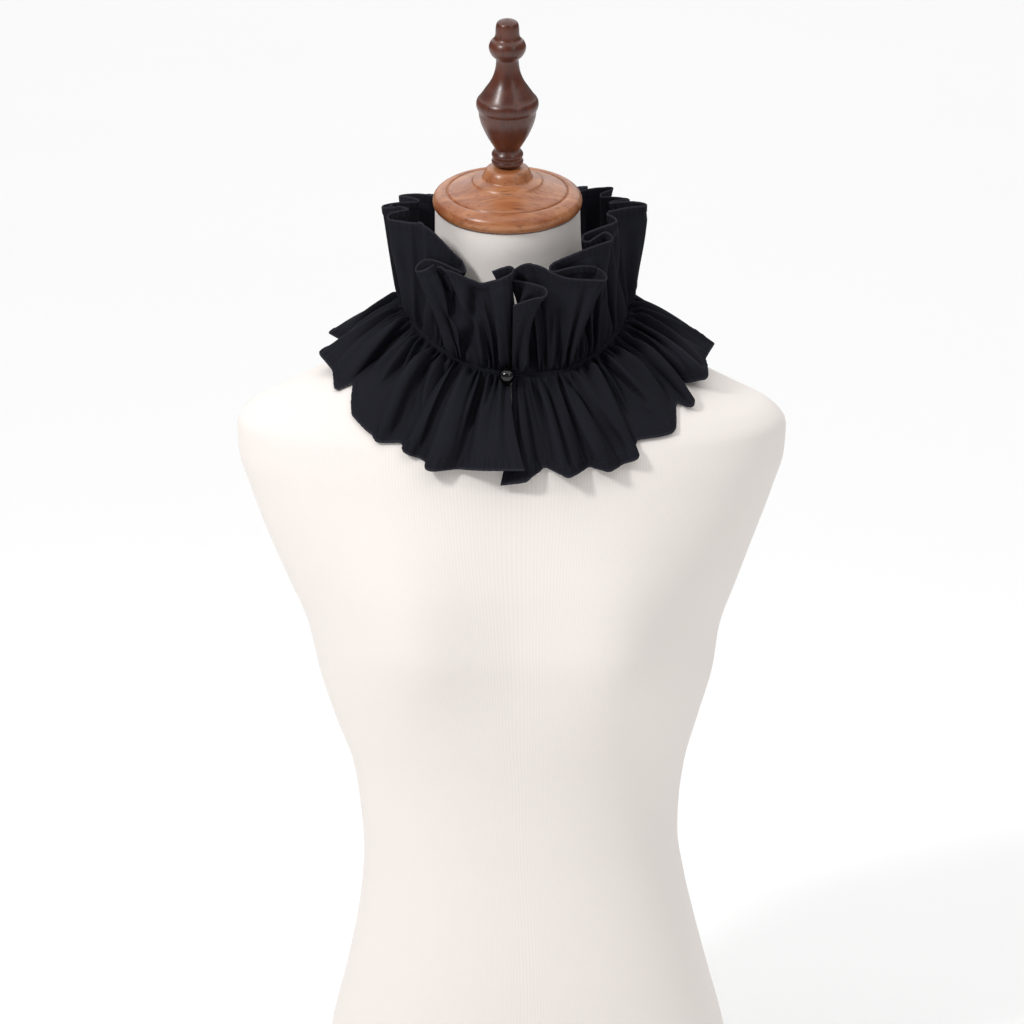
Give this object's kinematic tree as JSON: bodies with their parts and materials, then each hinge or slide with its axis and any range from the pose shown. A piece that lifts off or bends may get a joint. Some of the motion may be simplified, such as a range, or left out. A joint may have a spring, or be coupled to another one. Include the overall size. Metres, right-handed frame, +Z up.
{
  "type": "ruff collar on a limbless dress form",
  "caption": "Black gathered ruff collar with a standing and a falling frill, buttoned at the front, worn by an ivory limbless dress form with a turned wooden neck cap and finial",
  "frame": {"origin": "in the dress form's flat underside, below the middle of the neck seam", "axes": "+Z up, -Y towards the front of the form and the collar's opening, +X to the right as the front is seen"},
  "size_m": [0.382, 0.2336, 0.7816],
  "materials": {
    "cotton": "black plain-weave cotton, soft sheen on the folds",
    "button_resin": "polished black",
    "loop_cord": "black twisted cord",
    "knit_cover": "ivory fine rib knit, matt",
    "turned_wood": "reddish brown stain, satin varnish"
  },
  "bodies": {
    "root": {"standing_frill": "cotton", "falling_frill": "cotton", "neck_band": "cotton", "button": "button_resin", "button_loop": "loop_cord", "form_torso": "knit_cover", "form_neck_cap": "turned_wood", "form_finial": "turned_wood"}
  },
  "joints": []
}
